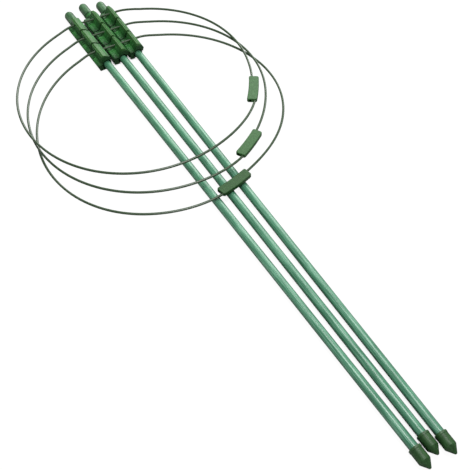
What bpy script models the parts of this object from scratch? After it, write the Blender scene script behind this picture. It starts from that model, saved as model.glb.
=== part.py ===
"""A ring plant support of three stakes and three wire hoops, packed flat.

Three coated steel stakes lie side by side on the ground. Three clips are stacked on each
stake, below its top cap, and each wire hoop runs through one clip of every stake and lies
back over the stakes.

Metres. +X runs across the stakes, +Y along them towards their heads, +Z up from the ground.
The origin is on the ground, under the middle hoop's line through its three clips.
"""
import math

import bmesh
import bpy
from mathutils import Matrix, Vector

# Fits
FIT = 0.0003
SIDES = 24

# Stakes: a steel tube in a plastic coat
STAKE_RADIUS = 0.0060
COAT_WALL = 0.00055
CORE_WALL = 0.0008
STAKE_OVERALL = 0.931

# Caps
TOP_CAP_RADIUS = 0.0080
TOP_CAP_LENGTH = 0.031
TOP_CAP_DEPTH = 0.020
TOP_CAP_DOME = 0.0075
FOOT_CAP_RADIUS = 0.0080
FOOT_CAP_LENGTH = 0.028
FOOT_CAP_DEPTH = 0.015
FOOT_POINT_LENGTH = 0.0105
FOOT_POINT_RADIUS = 0.0008
CAP_LIP = 0.0008
COLLAR_WALL = 0.0010

# Hoops
WIRE_RADIUS = 0.0018
HOOP_RADIUS = 0.1844
HOOP_TURN = math.radians(-3.0)
FLAT_SPREAD = math.radians(48.5)
WIRE_STEPS = 160
WIRE_END_STEPS = 4
EYE_LIFT = 0.0021
EYE_BEND = 0.034
EYE_END_SPACE = 0.002
EYE_SAG_SHARE = 0.72

# Connectors: a block with two bores side by side, one for each end of the wire
CONNECTOR_LENGTH = 0.053
CONNECTOR_WIDTH = 0.0150
CONNECTOR_THICKNESS = 0.0066
CONNECTOR_ROUNDING = 0.0010
CONNECTOR_CORNER = 0.0028
CONNECTOR_BEND = 0.0012
BORE_OFFSET = 0.0035
WIRE_END_INSET = 0.006
WIRE_SWAY = math.radians(24.0)

# Clips
CLIP_LENGTH = 0.0386
CLIP_GAP = 0.0005
EYE_FROM_FOOT_END = 0.0205
SLEEVE_FLAT = 0.0002
FIN_HALF = 0.0021
FIN_BASE = 0.0070
FIN_ROOF = 0.0050
SHOULDER_OUT = 0.0060
SHOULDER_DROP = 0.0044
SKIRT_OUT = 0.0097
SKIRT_HEIGHT = 0.0102
FIN_HEAD_SLOPE = 0.0014
FIN_FOOT_SLOPE = 0.0008
FIN_OVERHANG = 0.0036
RIDGE_GROOVE = 0.0005
CHEEK_TOP = 0.0060
CHEEK_BOTTOM = -0.0064
CHEEK_ROOT = 0.0045
CHEEK_ROUNDING = 0.0016
CHEEK_SLIT = 0.0014
MOUTH_FLARE = 0.0011
MOUTH_DEPTH = 0.0030
FIN_END_GAP = 0.0006

# How the three stakes lie: how far a clip is rolled, how far its cheek reaches to the left, and
# how far the stake is pushed up out of its stack of clips
STAKES = {
    "left": {"roll": math.radians(20.0), "cheek": 0.0150, "slack": 0.0006},
    "middle": {"roll": math.radians(-4.0), "cheek": 0.0159, "slack": 0.0101},
    "right": {"roll": math.radians(-5.0), "cheek": 0.0140, "slack": 0.0018},
}
LEFT_CLIP_GAP = 0.0037
RIGHT_CLIP_GAP = 0.0030
FOOT_CAP_GAP = 0.0007

# How the three hoops lie: the connector's place round the hoop, the places where the wire is
# flattened and where it stands full and by how much, and the slopes of the hoop's plane along
# the stakes and across them
HOOPS = {
    "top": {
        "place": math.radians(-39.9), "flat_at": math.radians(-14.0), "flat": 0.0143,
        "full_at": math.radians(-126.0), "full": 0.0117, "along": -0.0390, "across": 0.0111,
    },
    "middle": {
        "place": math.radians(-65.9), "flat_at": math.radians(-33.1), "flat": 0.0147,
        "full_at": math.radians(-130.8), "full": 0.0064, "along": -0.0180, "across": 0.0104,
    },
    "bottom": {
        "place": math.radians(-83.4), "flat_at": math.radians(-67.5), "flat": 0.0200,
        "full_at": math.radians(-144.5), "full": 0.0105, "along": 0.0073, "across": 0.0081,
    },
}

# Colours and finishes: base colour, roughness, metallic
FINISHES = {
    "coat": ((0.115, 0.405, 0.262, 1.0), 0.38, 0.0),
    "core": ((0.55, 0.56, 0.57, 1.0), 0.35, 1.0),
    "cap": ((0.055, 0.150, 0.062, 1.0), 0.50, 0.0),
    "clip": ((0.045, 0.170, 0.058, 1.0), 0.45, 0.0),
    "wire": ((0.105, 0.150, 0.105, 1.0), 0.42, 0.0),
    "connector": ((0.090, 0.215, 0.085, 1.0), 0.50, 0.0),
}

# Worked out from the sizes above
AXIS_HEIGHT = max(FOOT_CAP_RADIUS, TOP_CAP_RADIUS)
SLEEVE_RADIUS = AXIS_HEIGHT + SLEEVE_FLAT
CLIP_BORE = STAKE_RADIUS + FIT
CLIP_PITCH = CLIP_LENGTH + CLIP_GAP
CLIP_SIDE = (SLEEVE_RADIUS + CLIP_BORE) / 2.0
EYE_RADIUS = WIRE_RADIUS + FIT
EYE_HEIGHT = SLEEVE_RADIUS + EYE_LIFT + EYE_RADIUS
FIN_TOP = EYE_HEIGHT + EYE_RADIUS + FIN_ROOF


def clear_scene():
    for item in list(bpy.data.objects):
        bpy.data.objects.remove(item, do_unlink=True)


def make_material(name):
    colour, roughness, metallic = FINISHES[name]
    material = bpy.data.materials.new(name)
    material.use_nodes = True
    shader = material.node_tree.nodes["Principled BSDF"]
    shader.inputs["Base Color"].default_value = colour
    shader.inputs["Roughness"].default_value = roughness
    shader.inputs["Metallic"].default_value = metallic
    return material


def add_object(name, mesh, finish, parent=None):
    item = bpy.data.objects.new(name, mesh)
    bpy.context.scene.collection.objects.link(item)
    if parent is not None:
        item.parent = parent
    mesh.materials.append(make_material(finish))
    return item


def mesh_from(bm, name, sharp=math.radians(35.0)):
    bmesh.ops.recalc_face_normals(bm, faces=bm.faces)
    mesh = bpy.data.meshes.new(name)
    bm.to_mesh(mesh)
    bm.free()
    mesh.shade_smooth()
    mesh.set_sharp_from_angle(angle=sharp)
    return mesh


def add_empty(name, matrix, parent=None):
    empty = bpy.data.objects.new(name, None)
    empty.empty_display_size = 0.02
    bpy.context.scene.collection.objects.link(empty)
    empty.parent = parent
    empty.matrix_world = matrix
    return empty


def turned(name, profile, phase=0.0):
    """A closed ring of faces: the (radius, y) profile turned once about the Y axis.

    The phase turns the facets by that part of one side."""
    bm = bmesh.new()
    rings = []
    for radius, y in profile:
        if radius < 1e-6:
            rings.append([bm.verts.new((0.0, y, 0.0))])
            continue
        ring = []
        for step in range(SIDES):
            angle = 2.0 * math.pi * (step + phase) / SIDES
            ring.append(bm.verts.new((radius * math.sin(angle), y, radius * math.cos(angle))))
        rings.append(ring)
    closed = profile[0][0] > 1e-6 and profile[-1][0] > 1e-6
    pairs = list(zip(rings, rings[1:]))
    if closed:
        pairs.append((rings[-1], rings[0]))
    for first, second in pairs:
        for step in range(SIDES):
            after = (step + 1) % SIDES
            corners = []
            for ring, index in ((first, step), (first, after), (second, after), (second, step)):
                vert = ring[index % len(ring)]
                if vert not in corners:
                    corners.append(vert)
            bm.faces.new(corners)
    return mesh_from(bm, name)


def prism(outline, low, high, rounding=0.0):
    """The (x, z) outline extruded from y = low to y = high, with its end edges rounded."""
    bm = bmesh.new()
    corners = [bm.verts.new((x, low, z)) for x, z in outline]
    face = bm.faces.new(corners)
    made = bmesh.ops.extrude_face_region(bm, geom=[face])
    moved = [item for item in made["geom"] if isinstance(item, bmesh.types.BMVert)]
    bmesh.ops.translate(bm, verts=moved, vec=(0.0, high - low, 0.0))
    if rounding > 0.0:
        ends = [edge for edge in bm.edges if edge.verts[0].co.y == edge.verts[1].co.y]
        bmesh.ops.bevel(bm, geom=ends, offset=rounding, segments=2, profile=0.5, affect="EDGES")
    return bm


def slope_ends(bm):
    """Draws the two ends of the fin in towards its ridge."""
    high = max(vert.co.y for vert in bm.verts)
    for vert in bm.verts:
        rise = vert.co.z / FIN_TOP
        if vert.co.y == high:
            vert.co.y -= FIN_HEAD_SLOPE * rise
        else:
            vert.co.y += FIN_FOOT_SLOPE * rise


def boolean(item, operation, other):
    modifier = item.modifiers.new(operation.lower(), "BOOLEAN")
    modifier.operation = operation
    modifier.solver = "EXACT"
    modifier.object = other


def guide(name, bm, parent=None):
    """A solid that only adds to, or cuts, other objects."""
    bmesh.ops.recalc_face_normals(bm, faces=bm.faces)
    mesh = bpy.data.meshes.new(name)
    bm.to_mesh(mesh)
    bm.free()
    item = bpy.data.objects.new(name, mesh)
    bpy.context.scene.collection.objects.link(item)
    item.parent = parent
    item.hide_render = True
    item.display_type = "WIRE"
    return item


def turned_guide(name, profile, parent):
    item = bpy.data.objects.new(name, turned(name, profile, 0.5))
    bpy.context.scene.collection.objects.link(item)
    item.parent = parent
    item.hide_render = True
    item.display_type = "WIRE"
    return item


def rod(radius, low, high, sides=SIDES):
    """A plain rod along Y."""
    bm = bmesh.new()
    middle = Matrix.Translation((0.0, (low + high) / 2.0, 0.0))
    bmesh.ops.create_cone(
        bm, cap_ends=True, segments=sides, radius1=radius, radius2=radius, depth=high - low,
        matrix=middle @ Matrix.Rotation(-math.pi / 2.0, 4, "X"),
    )
    return bm


# Sections of the clip, in the clip's own frame: x out to the right, z up along the fin

def rolled(point, roll):
    x, z = point
    return (x * math.cos(roll) - z * math.sin(roll), x * math.sin(roll) + z * math.cos(roll))


def clip_widths(place):
    """How far a rolled clip reaches to the left and to the right of its stake's axis."""
    roll = STAKES[place]["roll"]
    side = CLIP_SIDE + (SKIRT_OUT - CLIP_SIDE) * CHEEK_TOP / SKIRT_HEIGHT
    skirt = rolled((side, CHEEK_TOP), roll)[0]
    cheek = [rolled((-STAKES[place]["cheek"], z), roll)[0] for z in (CHEEK_TOP, CHEEK_BOTTOM)]
    return (max(SLEEVE_RADIUS, -min(cheek)), max(SLEEVE_RADIUS, skirt))


def fin_outline():
    groove = RIDGE_GROOVE
    return [
        (-FIN_BASE, 0.0),
        (-FIN_HALF, FIN_TOP - groove),
        (-FIN_HALF + groove, FIN_TOP),
        (-groove, FIN_TOP),
        (0.0, FIN_TOP - groove),
        (groove, FIN_TOP),
        (FIN_HALF - groove, FIN_TOP),
        (FIN_HALF, FIN_TOP - groove),
        (SHOULDER_OUT, FIN_TOP - SHOULDER_DROP),
        (SKIRT_OUT, SKIRT_HEIGHT),
        (CLIP_SIDE, 0.0),
    ]


def cheek_outline(reach):
    points = []
    corner = CHEEK_ROUNDING
    for centre, start in (
        ((-reach + corner, CHEEK_BOTTOM + corner), 270.0),
        ((-reach + corner, CHEEK_TOP - corner), 180.0),
    ):
        for step in range(3):
            angle = math.radians(start - 45.0 * step)
            points.append((centre[0] + corner * math.cos(angle), centre[1] + corner * math.sin(angle)))
    points.append((-CHEEK_ROOT, CHEEK_TOP))
    points.append((-CHEEK_ROOT, CHEEK_BOTTOM))
    return points


# Where the stakes lie

def stake_line(place):
    """A stake's cross position at the clips and at its foot cap."""
    if place == "middle":
        return 0.0, 0.0
    foot = 2.0 * FOOT_CAP_RADIUS + FOOT_CAP_GAP
    if place == "left":
        head = clip_widths("left")[1] + LEFT_CLIP_GAP + clip_widths("middle")[0]
        return -head, -foot
    head = clip_widths("middle")[1] + RIGHT_CLIP_GAP + clip_widths("right")[0]
    return head, foot


def stake_frame(place):
    """The stake's axis at the middle hoop: its own +Y runs towards the head."""
    head, foot = stake_line(place)
    turn = math.atan2(foot - head, STAKE_OVERALL - TOP_CAP_LENGTH)
    return Matrix.Translation((head, 0.0, AXIS_HEIGHT)) @ Matrix.Rotation(turn, 4, "Z")


# Where the hoops lie

HOOP_STATIONS = {"top": CLIP_PITCH, "middle": 0.0, "bottom": -CLIP_PITCH}


def eye_ends():
    """The cross positions of the outer ends of the outer clips' eyes."""
    roll = STAKES["left"]["roll"]
    left = (FIN_HALF + (EYE_HEIGHT + EYE_RADIUS) * math.sin(roll)) / math.cos(roll)
    right = rolled((SKIRT_OUT, SKIRT_HEIGHT), STAKES["right"]["roll"])[0]
    return stake_line("left")[0] - left, stake_line("right")[0] + right


def straight_half():
    """Half the length of the wire's straight stretch through its three eyes."""
    left, right = eye_ends()
    return (right - left) / 2.0 + EYE_END_SPACE


def eye_bow():
    """How far the hoop's round outline passes over the middle of the straight stretch."""
    return EYE_SAG_SHARE * straight_half() ** 2 / (2.0 * HOOP_RADIUS)


def hoop_frame(level):
    """The line through the hoop's three eyes: +X along it, +Z square to the hoop's plane."""
    lie = HOOPS[level]
    middle = sum(eye_ends()) / 2.0
    along = Vector((math.cos(HOOP_TURN), math.sin(HOOP_TURN), 0.0))
    along.z = lie["across"] * along.x + lie["along"] * along.y
    along.normalize()
    normal = Vector((-lie["across"], -lie["along"], 1.0)).normalized()
    side = normal.cross(along)
    station = HOOP_STATIONS[level] + middle * math.tan(HOOP_TURN) - eye_bow()
    place = Vector((middle, station, AXIS_HEIGHT + EYE_HEIGHT + lie["across"] * middle))
    frame = Matrix((along, side, normal)).transposed().to_4x4()
    frame.translation = place
    return frame


def clip_station(level, place):
    """Where the hoop's wire crosses the stake, along the stake."""
    eyes = hoop_frame(level)
    stake = stake_frame(place)
    start = stake.inverted() @ eyes.translation
    direction = stake.to_3x3().inverted() @ eyes.col[0].to_3d()
    run = start.x / direction.x
    return start.y - direction.y * run


# Pieces of a stake

def stake_span(place):
    """The stake's top and its tip, in the stake's own frame."""
    stack_top = clip_station("top", place) + CLIP_LENGTH - EYE_FROM_FOOT_END
    top = stack_top + STAKES[place]["slack"] + TOP_CAP_LENGTH
    return top, top - STAKE_OVERALL


def tube_profile(outer, inner, low, high):
    return [(outer, low), (outer, high), (inner, high), (inner, low)]


def make_tubes(place, parent):
    top, tip = stake_span(place)
    high = top - TOP_CAP_LENGTH + TOP_CAP_DEPTH - FIT
    low = tip + FOOT_CAP_LENGTH - FOOT_CAP_DEPTH + FIT
    inner = STAKE_RADIUS - COAT_WALL
    coat = turned("coat_" + place, tube_profile(STAKE_RADIUS, inner, low, high))
    add_object("coat_" + place, coat, "coat", parent)
    core_outer = inner - FIT
    core = turned("core_" + place, tube_profile(core_outer, core_outer - CORE_WALL, low, high))
    add_object("core_" + place, core, "core", parent)


def make_top_cap(place, parent):
    top = stake_span(place)[0]
    mouth = top - TOP_CAP_LENGTH
    bore = STAKE_RADIUS + FIT
    profile = [(0.0, mouth + TOP_CAP_DEPTH), (bore, mouth + TOP_CAP_DEPTH), (bore, mouth)]
    profile.append((TOP_CAP_RADIUS - CAP_LIP, mouth))
    profile.append((TOP_CAP_RADIUS, mouth + CAP_LIP))
    steps = 5
    for step in range(steps):
        angle = math.pi / 2.0 * step / steps
        radius = TOP_CAP_RADIUS * math.cos(angle)
        profile.append((radius, top - TOP_CAP_DOME * (1.0 - math.sin(angle))))
    profile.append((0.0, top))
    add_object("top_cap_" + place, turned("top_cap_" + place, profile), "cap", parent)


def make_collar(place, parent):
    """A loose ring that fills the space between the stack of clips and the top cap."""
    bore = STAKE_RADIUS + FIT
    high = stake_span(place)[0] - TOP_CAP_LENGTH - CLIP_GAP
    low = high + 2.0 * CLIP_GAP - STAKES[place]["slack"]
    ring = turned("collar_" + place, tube_profile(bore + COLLAR_WALL, bore, low, high))
    add_object("collar_" + place, ring, "clip", parent)


def make_foot_cap(place, parent):
    tip = stake_span(place)[1]
    mouth = tip + FOOT_CAP_LENGTH
    bore = STAKE_RADIUS + FIT
    shoulder = tip + FOOT_POINT_LENGTH
    profile = [
        (0.0, mouth - FOOT_CAP_DEPTH),
        (bore, mouth - FOOT_CAP_DEPTH),
        (bore, mouth),
        (FOOT_CAP_RADIUS - CAP_LIP, mouth),
        (FOOT_CAP_RADIUS, mouth - CAP_LIP),
        (FOOT_CAP_RADIUS, shoulder + CAP_LIP),
        (FOOT_CAP_RADIUS - CAP_LIP / 2.0, shoulder),
        (FOOT_POINT_RADIUS, tip + FOOT_POINT_RADIUS / 2.0),
        (0.0, tip),
    ]
    add_object("foot_cap_" + place, turned("foot_cap_" + place, profile), "cap", parent)


# Clips

def make_clip(level, place, stake, eye_cutter, ground_cutter):
    station = clip_station(level, place)
    roll = STAKES[place]["roll"]
    turn = Matrix.Translation((0.0, station, 0.0)) @ Matrix.Rotation(-roll, 4, "Y")
    frame = add_empty("clip_frame_%s_%s" % (level, place), stake.matrix_world @ turn, stake)
    low = -EYE_FROM_FOOT_END
    high = low + CLIP_LENGTH
    name = "clip_%s_%s" % (level, place)

    under = low - FIN_OVERHANG - CLIP_GAP
    body = turned(name, [(0.0, under), (SLEEVE_RADIUS, under), (SLEEVE_RADIUS, high), (0.0, high)])
    clip = add_object(name, body, "clip", frame)

    fin_low = low - FIN_OVERHANG + FIN_END_GAP
    fin_high = high - FIN_OVERHANG - FIN_END_GAP
    fin = prism(fin_outline(), fin_low, fin_high)
    slope_ends(fin)
    boolean(clip, "UNION", guide("fin_" + name, fin, frame))
    reach = STAKES[place]["cheek"]
    cheek = prism(cheek_outline(reach), fin_low, fin_high)
    boolean(clip, "UNION", guide("cheek_" + name, cheek, frame))
    hood = (SLEEVE_RADIUS + FIT) / math.cos(math.pi / SIDES)
    bore = turned_guide("bore_" + name, [
        (0.0, under - CLIP_GAP),
        (hood, under - CLIP_GAP),
        (hood, low),
        (CLIP_BORE + MOUTH_FLARE, low),
        (CLIP_BORE, low + MOUTH_DEPTH),
        (CLIP_BORE, high + CLIP_GAP),
        (0.0, high + CLIP_GAP),
    ], frame)
    boolean(clip, "DIFFERENCE", bore)

    slit = bmesh.new()
    wide = Matrix.Diagonal((reach, CHEEK_SLIT, 2.0 * (CHEEK_TOP - CHEEK_BOTTOM), 1.0))
    centre = Matrix.Translation((-SLEEVE_RADIUS - FIT - reach / 2.0, 0.0, (CHEEK_TOP + CHEEK_BOTTOM) / 2.0))
    bmesh.ops.create_cube(slit, size=1.0, matrix=centre @ wide)
    boolean(clip, "DIFFERENCE", guide("slit_" + name, slit, frame))

    boolean(clip, "DIFFERENCE", eye_cutter)
    boolean(clip, "DIFFERENCE", ground_cutter)


def make_eye_cutter(level):
    reach = HOOP_RADIUS / 3.0
    cutter = rod(EYE_RADIUS, -reach, reach, sides=SIDES)
    bmesh.ops.rotate(cutter, verts=cutter.verts, matrix=Matrix.Rotation(math.pi / 2.0, 3, "Z"))
    item = guide("eye_line_" + level, cutter)
    item.matrix_world = hoop_frame(level)
    return item


def make_ground_cutter():
    """Everything under the ground, which leaves a narrow flat under each sleeve."""
    ground = bmesh.new()
    size = STAKE_OVERALL
    place = Matrix.Translation((0.0, 0.0, -size / 2.0))
    bmesh.ops.create_cube(ground, size=size, matrix=place)
    return guide("ground", ground)


# Hoops

def smooth_step(value):
    value = min(max(value, 0.0), 1.0)
    return value * value * (3.0 - 2.0 * value)


def hoop_radius(level, angle):
    """The hoop's radius at an angle: round, but flattened at one place and full at another."""
    lie = HOOPS[level]
    radius = HOOP_RADIUS
    for place, change in ((lie["flat_at"], -lie["flat"]), (lie["full_at"], lie["full"])):
        away = (angle - place + math.pi) % (2.0 * math.pi) - math.pi
        radius += change * math.exp(-((away / FLAT_SPREAD) ** 2))
    return radius


def hoop_curve(level, angle):
    """The hoop's middle line at an angle round it, in the hoop's own plane.

    It is straight where it runs through the eyes, and bends into the round on both sides."""
    radius = hoop_radius(level, angle)
    spot = Vector((radius * math.cos(angle), radius * math.sin(angle) + eye_bow() - HOOP_RADIUS, 0.0))
    share = (abs(spot.x) - straight_half()) / EYE_BEND
    if math.sin(angle) > 0.5 and share < 1.0:
        end = straight_half() + EYE_BEND
        drop = math.sqrt(HOOP_RADIUS ** 2 - end ** 2)
        lean = EYE_BEND * end / drop
        share = max(share, 0.0)
        spot.y = (eye_bow() - HOOP_RADIUS + drop) * smooth_step(share) + lean * share ** 2 * (1.0 - share)
    return spot


def connector_lie(level):
    """The connector's middle, and its directions out from the hoop and along the wire."""
    place = HOOPS[level]["place"] - HOOP_TURN
    step = math.radians(1.0)
    spot = hoop_curve(level, place)
    along = (hoop_curve(level, place + step) - hoop_curve(level, place - step)).normalized()
    out = Vector((along.y, -along.x, 0.0))
    return spot, out, along


def mouth_turn(level, depth=0.0):
    """The angle from the connector's middle to its end face, or to a depth inside that end."""
    centre = Vector((0.0, eye_bow() - HOOP_RADIUS, 0.0))
    reach = (connector_lie(level)[0] - centre).length
    return math.atan((CONNECTOR_LENGTH / 2.0 + FIT - depth) / reach)


def hoop_point(level, turn, side):
    """A point of the wire at an angle from its connector, before or behind the join.

    Inside the connector the wire is straight and off to its own side. From the connector's
    end face it leans back to the hoop's middle line."""
    spot, out, along = connector_lie(level)
    place = HOOPS[level]["place"] - HOOP_TURN
    inside = math.copysign(min(abs(turn), mouth_turn(level)), turn)
    edge = hoop_curve(level, place + inside)
    straight = spot + out * (side * BORE_OFFSET) + along * (edge - spot).dot(along)
    past = (abs(turn) - abs(inside)) / WIRE_SWAY
    return hoop_curve(level, place + turn) + (straight - edge) * math.exp(-past ** 2)


def hoop_turns(level):
    """The wire's own angles: into one end of the connector, round the hoop and out to the other."""
    mouth = mouth_turn(level)
    inner = mouth_turn(level, WIRE_END_INSET + FIT)
    turns = [(-inner + (mouth + inner) * step / WIRE_END_STEPS, -1.0) for step in range(WIRE_END_STEPS)]
    for step in range(WIRE_STEPS):
        turn = mouth + (2.0 * math.pi - 2.0 * mouth) * step / (WIRE_STEPS - 1)
        turns.append((turn - 2.0 * math.pi, 1.0) if turn > math.pi else (turn, -1.0))
    for step in range(1, WIRE_END_STEPS + 1):
        turns.append((-mouth + (mouth + inner) * step / WIRE_END_STEPS, 1.0))
    return turns


def make_hoop(level):
    frame = add_empty("hoop_frame_" + level, hoop_frame(level))
    curve = bpy.data.curves.new("hoop_wire_" + level, "CURVE")
    curve.dimensions = "3D"
    curve.bevel_depth = WIRE_RADIUS
    curve.bevel_resolution = 2
    curve.use_fill_caps = True
    points = [hoop_point(level, turn, side) for turn, side in hoop_turns(level)]
    spline = curve.splines.new("POLY")
    spline.points.add(len(points) - 1)
    for item, point in zip(spline.points, points):
        item.co = (point.x, point.y, point.z, 1.0)
    wire = bpy.data.objects.new("hoop_wire_" + level, curve)
    bpy.context.scene.collection.objects.link(wire)
    wire.parent = frame
    curve.materials.append(make_material("wire"))
    make_connector(level, frame)


def connector_outline():
    """A long block with round corners, bent a little to follow the hoop."""
    wide = CONNECTOR_WIDTH / 2.0 - CONNECTOR_CORNER
    long = CONNECTOR_LENGTH / 2.0 - CONNECTOR_CORNER
    points = []
    for corner, (x, z) in enumerate(((wide, long), (-wide, long), (-wide, -long), (wide, -long))):
        for step in range(4):
            angle = math.pi / 2.0 * (corner + step / 3.0)
            points.append((x + CONNECTOR_CORNER * math.cos(angle), z + CONNECTOR_CORNER * math.sin(angle)))
        if corner in (0, 2):
            continue
        for step in range(1, 6):
            points.append((points[-1][0], z - 2.0 * z * step / 6.0))
    bent = []
    for x, z in points:
        away = z / (CONNECTOR_LENGTH / 2.0)
        bent.append((x + CONNECTOR_BEND * (1.0 / 3.0 - away * away), z))
    return bent


def make_connector(level, frame):
    spot, out, along = connector_lie(level)
    turn = Matrix((out, along, out.cross(along))).transposed().to_4x4()
    turn.translation = spot
    half = CONNECTOR_THICKNESS / 2.0
    block = prism(connector_outline(), -half, half, CONNECTOR_ROUNDING)
    bmesh.ops.rotate(block, verts=block.verts, matrix=Matrix.Rotation(math.pi / 2.0, 3, "X"))
    connector = add_object("connector_" + level, mesh_from(block, "connector_" + level), "connector", frame)
    connector.matrix_local = turn
    for side in (-1.0, 1.0):
        reach = CONNECTOR_LENGTH / 2.0 + CONNECTOR_ROUNDING
        bore = rod(WIRE_RADIUS + FIT, -reach, reach, sides=12)
        bmesh.ops.translate(bore, verts=bore.verts, vec=(side * BORE_OFFSET, 0.0, 0.0))
        cutter = guide("bore_%s_%d" % (level, side), bore, connector)
        boolean(connector, "DIFFERENCE", cutter)


def build():
    clear_scene()
    ground = make_ground_cutter()
    eyes = {level: make_eye_cutter(level) for level in HOOPS}
    for place in STAKES:
        stake = add_empty("stake_" + place, stake_frame(place))
        bpy.context.view_layer.update()
        make_tubes(place, stake)
        make_top_cap(place, stake)
        make_foot_cap(place, stake)
        for level in HOOPS:
            make_clip(level, place, stake, eyes[level], ground)
    make_collar("middle", bpy.data.objects["stake_middle"])
    for level in HOOPS:
        make_hoop(level)


build()
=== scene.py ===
import math

import bmesh
import bpy
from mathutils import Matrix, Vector


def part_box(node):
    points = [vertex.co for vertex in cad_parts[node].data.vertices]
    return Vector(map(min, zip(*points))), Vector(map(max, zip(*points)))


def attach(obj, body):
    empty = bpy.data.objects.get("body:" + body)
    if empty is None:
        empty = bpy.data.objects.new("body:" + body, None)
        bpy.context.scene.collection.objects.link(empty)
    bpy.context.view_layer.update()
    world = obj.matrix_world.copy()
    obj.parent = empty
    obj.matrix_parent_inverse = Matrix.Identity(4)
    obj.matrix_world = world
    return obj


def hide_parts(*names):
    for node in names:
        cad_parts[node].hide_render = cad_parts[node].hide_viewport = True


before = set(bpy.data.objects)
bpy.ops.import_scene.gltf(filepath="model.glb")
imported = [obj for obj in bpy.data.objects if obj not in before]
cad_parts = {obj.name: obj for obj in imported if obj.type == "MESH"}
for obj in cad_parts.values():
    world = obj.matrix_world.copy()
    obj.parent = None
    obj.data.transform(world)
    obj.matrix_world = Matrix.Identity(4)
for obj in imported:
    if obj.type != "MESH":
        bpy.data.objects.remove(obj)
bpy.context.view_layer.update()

STAKES = ("left", "middle", "right")
LEVELS = ("top", "middle", "bottom")
WHITE = (1.0, 1.0, 1.0)


# Materials

NOISE_ROUGHNESS = 0.6
EDGE_END = 0.97
SHADE_SAMPLES = 8


def new_material(name):
    material = bpy.data.materials.new(name)
    material.use_nodes = True
    tree = material.node_tree
    shader = tree.nodes["Principled BSDF"]
    return material, tree, shader


def noise(tree, scale, stretch, detail=4.0, roughness=NOISE_ROUGHNESS):
    """Noise in the piece's own metres, drawn out along Y by the stretch."""
    place = tree.nodes.new("ShaderNodeTexCoord")
    mapping = tree.nodes.new("ShaderNodeMapping")
    mapping.inputs["Scale"].default_value = (scale, scale / stretch, scale)
    texture = tree.nodes.new("ShaderNodeTexNoise")
    texture.inputs["Scale"].default_value = 1.0
    texture.inputs["Detail"].default_value = detail
    texture.inputs["Roughness"].default_value = roughness
    tree.links.new(place.outputs["Object"], mapping.inputs["Vector"])
    tree.links.new(mapping.outputs["Vector"], texture.inputs["Vector"])
    return texture.outputs["Fac"]


def coordinate(tree, kind, axis):
    """One axis of a piece's own metres, kind Object, or 0 to 1 across its box, kind Generated."""
    place = tree.nodes.new("ShaderNodeTexCoord")
    split = tree.nodes.new("ShaderNodeSeparateXYZ")
    tree.links.new(place.outputs[kind], split.inputs["Vector"])
    return split.outputs[axis]


def along(tree, axis, reach):
    """0 to 1 between two places on an axis of the piece's own metres."""
    spread = tree.nodes.new("ShaderNodeMapRange")
    spread.inputs["From Min"].default_value = reach[0]
    spread.inputs["From Max"].default_value = reach[1]
    tree.links.new(coordinate(tree, "Object", axis), spread.inputs["Value"])
    return spread.outputs["Result"]


def ramp(tree, value, stops):
    node = tree.nodes.new("ShaderNodeValToRGB")
    while len(node.color_ramp.elements) < len(stops):
        node.color_ramp.elements.new(0.5)
    for element, (place, colour) in zip(node.color_ramp.elements, stops):
        element.position = place
        element.color = (colour[0], colour[1], colour[2], 1.0)
    tree.links.new(value, node.inputs["Fac"])
    return node.outputs["Color"]


def mix(tree, kind, factor, first, second):
    node = tree.nodes.new("ShaderNodeMix")
    node.data_type = "RGBA"
    node.blend_type = kind
    if isinstance(factor, float):
        node.inputs["Factor"].default_value = factor
    else:
        tree.links.new(factor, node.inputs["Factor"])
    tree.links.new(first, node.inputs["A"])
    tree.links.new(second, node.inputs["B"])
    return node.outputs["Result"]


def grey(level):
    return (level, level, level)


def edge_shade(tree, colour, start, dark):
    """Painted shade: darkens a colour where the surface turns away from the eye."""
    weight = tree.nodes.new("ShaderNodeLayerWeight")
    shade = ramp(tree, weight.outputs["Facing"], ((start, WHITE), (EDGE_END, grey(dark))))
    return mix(tree, "MULTIPLY", 1.0, colour, shade)


def crease_shade(tree, colour, reach, dark, start=0.15, end=0.75):
    """Painted shade: darkens a colour in the narrow places between pieces."""
    near = tree.nodes.new("ShaderNodeAmbientOcclusion")
    near.samples = SHADE_SAMPLES
    near.inputs["Distance"].default_value = reach
    shade = ramp(tree, near.outputs["AO"], ((start, grey(dark)), (end, WHITE)))
    return mix(tree, "MULTIPLY", 1.0, colour, shade)


def bump(tree, shader, value, height):
    node = tree.nodes.new("ShaderNodeBump")
    node.inputs["Strength"].default_value = 1.0
    node.inputs["Distance"].default_value = height
    tree.links.new(value, node.inputs["Height"])
    tree.links.new(node.outputs["Normal"], shader.inputs["Normal"])


# Each *_NOISE is a noise's scale and stretch, then its detail and roughness where they differ

COAT_STREAKS_NOISE = (800.0, 34.0, 5.0, 0.7)
COAT_STREAKS = (
    (0.30, (0.026, 0.150, 0.078)), (0.50, (0.080, 0.275, 0.168)), (0.70, (0.265, 0.500, 0.380)),
)
COAT_PATCHES_NOISE = (110.0, 4.0, 3.0)
COAT_PATCHES = ((0.32, (0.68, 0.74, 0.72)), (0.68, WHITE))
COAT_TINT = (
    (0.0, (1.00, 1.03, 0.98)), (0.5, (0.95, 1.02, 0.94)), (1.0, (0.96, 1.00, 0.86)),
)
COAT_TINT_REACH = (-0.80, 0.05)
# Painted shade at the stakes' silhouettes, deeper towards the foot, and painted shade in creases
COAT_EDGE_SHADE_REACH = (-0.80, -0.10)
COAT_FOOT_EDGE_SHADE = (0.30, 0.30)
COAT_HEAD_EDGE_SHADE = (0.55, 0.55)
COAT_CREASE_SHADE = (0.012, 0.35)
COAT_SHINE_REACH = (-0.60, -0.20)
COAT_FOOT_ROUGHNESS = 0.35
COAT_HEAD_ROUGHNESS = 0.43
COAT_SHEEN = 0.60
COAT_GRAIN_NOISE = (900.0, 60.0)
COAT_GRAIN_HEIGHT = 0.00002


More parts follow.
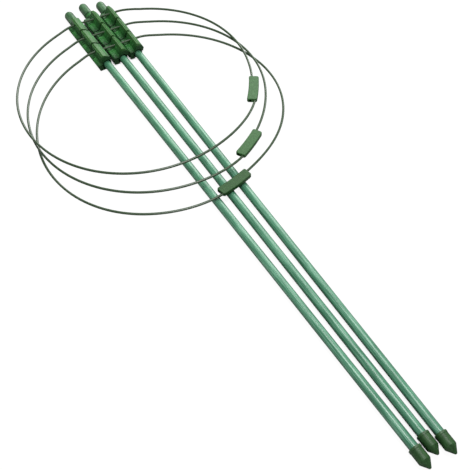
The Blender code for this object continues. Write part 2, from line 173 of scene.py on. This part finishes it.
def coat_material():
    """Sea-green plastic skin with streaks and flecks drawn out along the stake, painted shade at
    its silhouettes, deeper over the foot half, and painted shade in creases.
    """
    material, tree, shader = new_material("coat_skin")
    streaks = ramp(tree, noise(tree, *COAT_STREAKS_NOISE), COAT_STREAKS)
    patches = ramp(tree, noise(tree, *COAT_PATCHES_NOISE), COAT_PATCHES)
    tint = ramp(tree, along(tree, "Y", COAT_TINT_REACH), COAT_TINT)
    colour = mix(tree, "MULTIPLY", 1.0, mix(tree, "MULTIPLY", 1.0, streaks, patches), tint)
    # Painted shade at the silhouettes, deeper over the foot half than the head half, then painted
    # shade in the creases
    foot_colour = edge_shade(tree, colour, *COAT_FOOT_EDGE_SHADE)
    head_colour = edge_shade(tree, colour, *COAT_HEAD_EDGE_SHADE)
    colour = mix(tree, "MIX", along(tree, "Y", COAT_EDGE_SHADE_REACH), foot_colour, head_colour)
    tree.links.new(crease_shade(tree, colour, *COAT_CREASE_SHADE), shader.inputs["Base Color"])
    shine = ramp(tree, along(tree, "Y", COAT_SHINE_REACH), (
        (0.0, grey(COAT_FOOT_ROUGHNESS)), (1.0, grey(COAT_HEAD_ROUGHNESS)),
    ))
    tree.links.new(shine, shader.inputs["Roughness"])
    shader.inputs["Specular IOR Level"].default_value = COAT_SHEEN
    bump(tree, shader, noise(tree, *COAT_GRAIN_NOISE), COAT_GRAIN_HEIGHT)
    return material


MOULDED_SCALE = 420.0
MOULDED_STRETCH = 1.6
MOULDED_DETAIL = 5.0
MOULDED_NOISE_ROUGHNESS = 0.65
MOULDED_STOPS = (0.28, 0.52, 0.78)
MOULDED_GRAIN_HEIGHT = 0.00010
EDGE_START = 0.50
CREASE_REACH = 0.008
ROUGHNESS_SPREAD = 0.08
ROUGHNESS_FINENESS = 2.1
GRAIN_FINENESS = 2.6


def mottle(tree, dark, body, light, scale=MOULDED_SCALE, stretch=MOULDED_STRETCH):
    """A colour that wanders between three shades of one plastic."""
    value = noise(tree, scale, stretch, MOULDED_DETAIL, MOULDED_NOISE_ROUGHNESS)
    return ramp(tree, value, tuple(zip(MOULDED_STOPS, (dark, body, light))))


def moulded_material(name, dark, body, light, roughness, scale=MOULDED_SCALE,
                     height=MOULDED_GRAIN_HEIGHT, stretch=MOULDED_STRETCH, edge=0.55,
                     crease=0.30, sheen=0.45):
    """Moulded plastic with a mottled colour, a fine grain, and painted shade at its silhouettes
    (edge, darkest level) and in creases (crease, darkest level).
    """
    material, tree, shader = new_material(name)
    colour = mottle(tree, dark, body, light, scale, stretch)
    colour = edge_shade(tree, colour, EDGE_START, edge)
    tree.links.new(crease_shade(tree, colour, CREASE_REACH, crease), shader.inputs["Base Color"])
    grain = ramp(tree, noise(tree, ROUGHNESS_FINENESS * scale, 1.0), (
        (0.3, grey(roughness - ROUGHNESS_SPREAD)), (0.7, grey(roughness + ROUGHNESS_SPREAD)),
    ))
    tree.links.new(grain, shader.inputs["Roughness"])
    shader.inputs["Specular IOR Level"].default_value = sheen
    bump(tree, shader, noise(tree, GRAIN_FINENESS * scale, 1.0), height)
    return material


CLIP_COLOURS = ((0.012, 0.075, 0.018), (0.034, 0.150, 0.040), (0.095, 0.270, 0.095))
# Painted shade towards each clip's ends and a painted highlight half-way along its length
CLIP_LENGTH_LIGHT_AND_SHADE = (
    (0.0, grey(0.35)), (0.2, grey(0.95)), (0.5, (1.35, 1.55, 1.30)), (0.8, grey(0.95)),
    (1.0, grey(0.35)),
)
# Painted highlight along the clips' top ridge, mixed in by height
RIDGE_HIGHLIGHT_NOISE = (700.0, 5.0)
RIDGE_HIGHLIGHT_COLOURS = ((0.3, (0.020, 0.092, 0.017)), (0.7, (0.066, 0.195, 0.052)))
RIDGE_HIGHLIGHT_REACH = (0.0215, 0.0262)
CLIP_CREASE_SHADE = (0.007, 0.34, 0.15, 0.75)
CLIP_ROUGHNESS = 0.42
CLIP_SHEEN = 0.24
CLIP_GRAIN_NOISE = (1090.0, 3.0)
CLIP_GRAIN_HEIGHT = 0.00005


def clip_material():
    """Deep green moulded plastic, with painted shade towards each clip's ends, a painted
    highlight half-way along, a paler painted highlight along the top ridge, and painted shade in
    creases.
    """
    material, tree, shader = new_material("clip_green")
    ridge_highlight = ramp(tree, noise(tree, *RIDGE_HIGHLIGHT_NOISE), RIDGE_HIGHLIGHT_COLOURS)
    # Painted shade towards the clip's ends, painted highlight half-way along
    shade = ramp(tree, coordinate(tree, "Generated", "Y"), CLIP_LENGTH_LIGHT_AND_SHADE)
    colour = mix(tree, "MULTIPLY", 1.0, mottle(tree, *CLIP_COLOURS), shade)
    # Painted highlight: the top ridge, where the light falls, mixed to a paler green
    colour = mix(tree, "MIX", along(tree, "Z", RIDGE_HIGHLIGHT_REACH), colour, ridge_highlight)
    tree.links.new(crease_shade(tree, colour, *CLIP_CREASE_SHADE), shader.inputs["Base Color"])
    shader.inputs["Roughness"].default_value = CLIP_ROUGHNESS
    shader.inputs["Specular IOR Level"].default_value = CLIP_SHEEN
    bump(tree, shader, noise(tree, *CLIP_GRAIN_NOISE), CLIP_GRAIN_HEIGHT)
    return material


STEEL_NOISE = (1500.0, 30.0)
STEEL_COLOURS = ((0.3, (0.40, 0.41, 0.42)), (0.7, (0.62, 0.63, 0.64)))
STEEL_ROUGHNESS = 0.35


def steel_material():
    """Drawn steel with lines along the tube."""
    material, tree, shader = new_material("core_steel")
    drawn = ramp(tree, noise(tree, *STEEL_NOISE), STEEL_COLOURS)
    tree.links.new(drawn, shader.inputs["Base Color"])
    shader.inputs["Metallic"].default_value = 1.0
    shader.inputs["Roughness"].default_value = STEEL_ROUGHNESS
    return material


CLIP_FINISH = clip_material()
FINISH = {
    "coat": coat_material(),
    "core": steel_material(),
    "top_cap": moulded_material(
        "cap_grey_green",
        (0.022, 0.085, 0.028), (0.062, 0.165, 0.070), (0.165, 0.290, 0.170),
        roughness=0.42, scale=300.0, stretch=6.0, edge=0.22, sheen=0.35),
    "foot_cap": moulded_material(
        "cap_deep_green",
        (0.004, 0.034, 0.003), (0.013, 0.074, 0.010), (0.048, 0.132, 0.046),
        roughness=0.50, stretch=3.0, edge=0.35, sheen=0.55),
    "clip": CLIP_FINISH,
    "collar": CLIP_FINISH,
    "hoop_wire": moulded_material(
        "wire_green",
        (0.022, 0.050, 0.018), (0.034, 0.070, 0.028), (0.056, 0.102, 0.048),
        roughness=0.40, scale=900.0, height=0.00001, stretch=1.0, crease=0.9, sheen=0.55),
    "connector": moulded_material(
        "connector_green",
        (0.016, 0.074, 0.013), (0.029, 0.112, 0.025), (0.052, 0.158, 0.045),
        roughness=0.55, sheen=0.30),
    # The bottom connector: the connector plastic darkened as painted shade, for its turn away
    # from the light
    "connector_bottom": moulded_material(
        "connector_shaded_green",
        (0.008, 0.046, 0.006), (0.016, 0.075, 0.012), (0.034, 0.112, 0.027),
        roughness=0.55, sheen=0.30),
}


def dress(item, finish):
    if not item.data.materials:
        item.data.materials.append(FINISH[finish])
    for slot in item.material_slots:
        slot.material = FINISH[finish]


for node_name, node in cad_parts.items():
    kind = max((key for key in FINISH if node_name.startswith(key)), key=len)
    dress(node, kind)

# The clips' edges, slightly rounded

EDGE_ROUNDING = 0.00035
EDGE_SEGMENTS = 2
EDGE_ANGLE = math.radians(40.0)

for level in LEVELS:
    for place in STAKES:
        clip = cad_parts["clip_%s_%s" % (level, place)]
        soften = clip.modifiers.new("soft_edges", "BEVEL")
        soften.width = EDGE_ROUNDING
        soften.segments = EDGE_SEGMENTS
        soften.limit_method = "ANGLE"
        soften.angle_limit = EDGE_ANGLE


# Caps: the CAD caps' own axes, lengths and radii, turned finer and with a moulded mouth band

CAP_SIDES = 64
CAP_CREASE_ANGLE = math.radians(38.0)
AXIS_RADIUS = 1e-6
BORE_SHARE = 0.7875
BAND_LENGTH = 0.0034
BAND_STEP = 0.00035
MOUTH_ROUND = 0.0006
MOUTH_CORNER = 0.3 * MOUTH_ROUND
TOP_BORE_SHARE = 0.64
TOP_DOME_SHARE = 0.25
DOME_STEPS = 12
FOOT_BORE_SHARE = 0.52
FOOT_POINT_SHARE = 0.335
FOOT_NOSE = 0.0021
FOOT_SHOULDER_RISE = 0.6 * FOOT_NOSE
SHOULDER_STEPS = 2
NOSE_STEPS = 5
CAP_INSET = 0.000001


def stake_axis(place):
    """A point on the stake's axis and the axis's direction, towards the head."""
    corners = [vert.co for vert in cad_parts["coat_" + place].data.vertices]
    middle = sum(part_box("coat_" + place)[end][1] for end in (0, 1)) / 2.0
    ends = []
    for head in (False, True):
        ring = [corner for corner in corners if (corner.y > middle) == head]
        ends.append(Vector([
            (min(corner[axis] for corner in ring) + max(corner[axis] for corner in ring)) / 2.0
            for axis in range(3)
        ]))
    return ends[0], (ends[1] - ends[0]).normalized()


def cap_span(name, start, direction):
    """The cap's lowest and highest places along the stake's axis, and its radius."""
    away = [vert.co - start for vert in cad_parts[name].data.vertices]
    runs = [offset.dot(direction) for offset in away]
    radius = max((offset - direction * run).length for offset, run in zip(away, runs))
    return min(runs) + CAP_INSET, max(runs) - CAP_INSET, radius - CAP_INSET


def turned_piece(name, start, direction, profile):
    """The (radius, run) profile turned about the stake's axis."""
    side = direction.cross(Vector((0.0, 0.0, 1.0))).normalized()
    up = side.cross(direction)
    shape = bmesh.new()
    rings = []
    for radius, run in profile:
        centre = start + direction * run
        if radius < AXIS_RADIUS:
            rings.append([shape.verts.new(centre)])
            continue
        ring = []
        for step in range(CAP_SIDES):
            angle = 2.0 * math.pi * step / CAP_SIDES
            ring.append(shape.verts.new(
                centre + side * (radius * math.sin(angle)) + up * (radius * math.cos(angle))))
        rings.append(ring)
    for first, second in zip(rings, rings[1:]):
        for step in range(CAP_SIDES):
            after = (step + 1) % CAP_SIDES
            corners = []
            for ring, index in ((first, step), (first, after), (second, after), (second, step)):
                vert = ring[index % len(ring)]
                if vert not in corners:
                    corners.append(vert)
            shape.faces.new(corners)
    bmesh.ops.recalc_face_normals(shape, faces=shape.faces)
    mesh = bpy.data.meshes.new(name)
    shape.to_mesh(mesh)
    shape.free()
    mesh.shade_smooth()
    mesh.set_sharp_from_angle(angle=CAP_CREASE_ANGLE)
    item = bpy.data.objects.new(name, mesh)
    bpy.context.scene.collection.objects.link(item)
    return item


def mouth_profile(radius, mouth, inward, depth):
    """From the bottom of the bore, out round the mouth, to the step behind the mouth band."""
    bore = radius * BORE_SHARE
    band = mouth + inward * BAND_LENGTH
    return [
        (0.0, mouth + inward * depth),
        (bore, mouth + inward * depth),
        (bore, mouth),
        (radius - MOUTH_ROUND, mouth),
        (radius - MOUTH_CORNER, mouth + inward * MOUTH_CORNER),
        (radius, mouth + inward * MOUTH_ROUND),
        (radius, band - inward * BAND_STEP),
        (radius - BAND_STEP, band),
    ]


def top_cap(place, start, direction):
    low, high, radius = cap_span("top_cap_" + place, start, direction)
    length = high - low
    profile = mouth_profile(radius, low, 1.0, TOP_BORE_SHARE * length)
    dome = TOP_DOME_SHARE * length
    body = radius - BAND_STEP
    for step in range(DOME_STEPS):
        angle = math.pi / 2.0 * step / DOME_STEPS
        profile.append((body * math.cos(angle), high - dome * (1.0 - math.sin(angle))))
    profile.append((0.0, high))
    return turned_piece("top_cap_skin_" + place, start, direction, profile)


def foot_cap(place, start, direction):
    low, high, radius = cap_span("foot_cap_" + place, start, direction)
    length = high - low
    profile = mouth_profile(radius, high, -1.0, FOOT_BORE_SHARE * length)
    shoulder = low + FOOT_POINT_SHARE * length
    body = radius - BAND_STEP
    lean = math.atan2(body - FOOT_NOSE, shoulder - low - FOOT_NOSE)
    for step in range(SHOULDER_STEPS + 1):
        angle = lean * step / SHOULDER_STEPS
        profile.append((
            body - FOOT_NOSE * (1.0 - math.cos(angle)),
            shoulder + FOOT_SHOULDER_RISE - FOOT_NOSE * math.sin(angle),
        ))
    for step in range(NOSE_STEPS):
        angle = lean + (math.pi / 2.0 - lean) * step / NOSE_STEPS
        profile.append((FOOT_NOSE * math.cos(angle), low + FOOT_NOSE * (1.0 - math.sin(angle))))
    profile.append((0.0, low))
    return turned_piece("foot_cap_skin_" + place, start, direction, profile)


for place in STAKES:
    start, direction = stake_axis(place)
    for make, kind in ((top_cap, "top_cap"), (foot_cap, "foot_cap")):
        cap = make(place, start, direction)
        dress(cap, kind)
        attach(cap, "stake_" + place)
        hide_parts("%s_%s" % (kind, place))


# Camera: level, from the foot end, a little to the left and well above

CAMERA_PLACE = Vector((-0.3690, -1.0156, 0.8445))
CAMERA_VIEW = Vector((0.3179, 0.5238, -0.7903)).normalized()
CAMERA_SENSOR = 36.0
CAMERA_LENS = 61.3
CAMERA_NEAR = 0.01

camera_data = bpy.data.cameras.new("camera")
camera_data.sensor_width = CAMERA_SENSOR
camera_data.lens = CAMERA_LENS
camera_data.clip_start = CAMERA_NEAR
camera = bpy.data.objects.new("camera", camera_data)
bpy.context.scene.collection.objects.link(camera)
camera.location = CAMERA_PLACE
camera.rotation_mode = "QUATERNION"
camera.rotation_quaternion = CAMERA_VIEW.to_track_quat("-Z", "Y")
bpy.context.scene.camera = camera


# Floor: white to the camera, and still taking the object's shadow

FLOOR_GLOW_SHARE = 0.84
FLOOR_GLOW = 1.14
FLOOR_COLOUR = (0.45, 0.45, 0.45, 1.0)
FLOOR_ROUGHNESS = 0.9
FLOOR_SHEEN = 0.1
# Painted shade on the floor's glow in narrow gaps: reach, darkest level, ramp start and end
GAP_SHADE = (0.020, 0.04, 0.03, 0.12)
FLOOR_REACH = 40.0
FLOOR_DROP = 0.0002


def floor_material():
    material, tree, shader = new_material("floor_white")
    shader.inputs["Base Color"].default_value = FLOOR_COLOUR
    shader.inputs["Roughness"].default_value = FLOOR_ROUGHNESS
    shader.inputs["Specular IOR Level"].default_value = FLOOR_SHEEN
    glow = tree.nodes.new("ShaderNodeEmission")
    glow.inputs["Strength"].default_value = FLOOR_GLOW
    white = tree.nodes.new("ShaderNodeRGB")
    white.outputs["Color"].default_value = (1.0, 1.0, 1.0, 1.0)
    # Painted shade: the floor's glow darkens in the narrow gaps between the stakes
    gap_shaded_white = crease_shade(tree, white.outputs["Color"], *GAP_SHADE)
    tree.links.new(gap_shaded_white, glow.inputs["Color"])
    path = tree.nodes.new("ShaderNodeLightPath")
    seen = tree.nodes.new("ShaderNodeMath")
    seen.operation = "MAXIMUM"
    tree.links.new(path.outputs["Is Camera Ray"], seen.inputs[0])
    tree.links.new(path.outputs["Is Transmission Ray"], seen.inputs[1])
    share = tree.nodes.new("ShaderNodeMath")
    share.operation = "MULTIPLY"
    share.inputs[1].default_value = FLOOR_GLOW_SHARE
    tree.links.new(seen.outputs[0], share.inputs[0])
    blend = tree.nodes.new("ShaderNodeMixShader")
    tree.links.new(share.outputs[0], blend.inputs["Fac"])
    tree.links.new(shader.outputs["BSDF"], blend.inputs[1])
    tree.links.new(glow.outputs["Emission"], blend.inputs[2])
    tree.links.new(blend.outputs["Shader"], tree.nodes["Material Output"].inputs["Surface"])
    return material


floor_mesh = bpy.data.meshes.new("floor")
shape = bmesh.new()
bmesh.ops.create_grid(shape, x_segments=1, y_segments=1, size=FLOOR_REACH)
shape.to_mesh(floor_mesh)
shape.free()
floor = bpy.data.objects.new("floor", floor_mesh)
bpy.context.scene.collection.objects.link(floor)
floor.location = (0.0, 0.0, -FLOOR_DROP)
floor_mesh.materials.append(floor_material())


# Light: a white room, a soft key from the right of the heads and a strip above the foot half

ROOM_LEVEL = 0.34
KEY_PLACE = (1.40, 1.05, 1.15)
KEY_AIM = (0.0, -0.10, 0.0)
KEY_SIZE = 1.5
KEY_POWER = 48.0
STRIP_PLACE = (0.10, -0.45, 1.20)
STRIP_AIM = (0.10, -0.451, 0.0)
STRIP_WIDTH = 0.20
STRIP_LENGTH = 0.80
STRIP_POWER = 10.0

world = bpy.data.worlds.new("room")
bpy.context.scene.world = world
world.use_nodes = True
room = world.node_tree
sky = room.nodes["Background"]
sky.inputs["Color"].default_value = (1.0, 1.0, 1.0, 1.0)
rays = room.nodes.new("ShaderNodeLightPath")
level_node = room.nodes.new("ShaderNodeMapRange")
level_node.inputs["To Min"].default_value = ROOM_LEVEL
level_node.inputs["To Max"].default_value = 1.0
room.links.new(rays.outputs["Is Camera Ray"], level_node.inputs["Value"])
room.links.new(level_node.outputs["Result"], sky.inputs["Strength"])


def area_lamp(name, place, aim, width, length, power):
    data = bpy.data.lights.new(name, "AREA")
    data.shape = "ELLIPSE"
    data.size = width
    data.size_y = length
    data.energy = power
    lamp = bpy.data.objects.new(name, data)
    bpy.context.scene.collection.objects.link(lamp)
    lamp.location = place
    lamp.rotation_mode = "QUATERNION"
    lamp.rotation_quaternion = (Vector(aim) - Vector(place)).to_track_quat("-Z", "Y")


area_lamp("key", KEY_PLACE, KEY_AIM, KEY_SIZE, KEY_SIZE, KEY_POWER)
area_lamp("strip", STRIP_PLACE, STRIP_AIM, STRIP_WIDTH, STRIP_LENGTH, STRIP_POWER)

scene = bpy.context.scene
scene.view_settings.view_transform = "Standard"
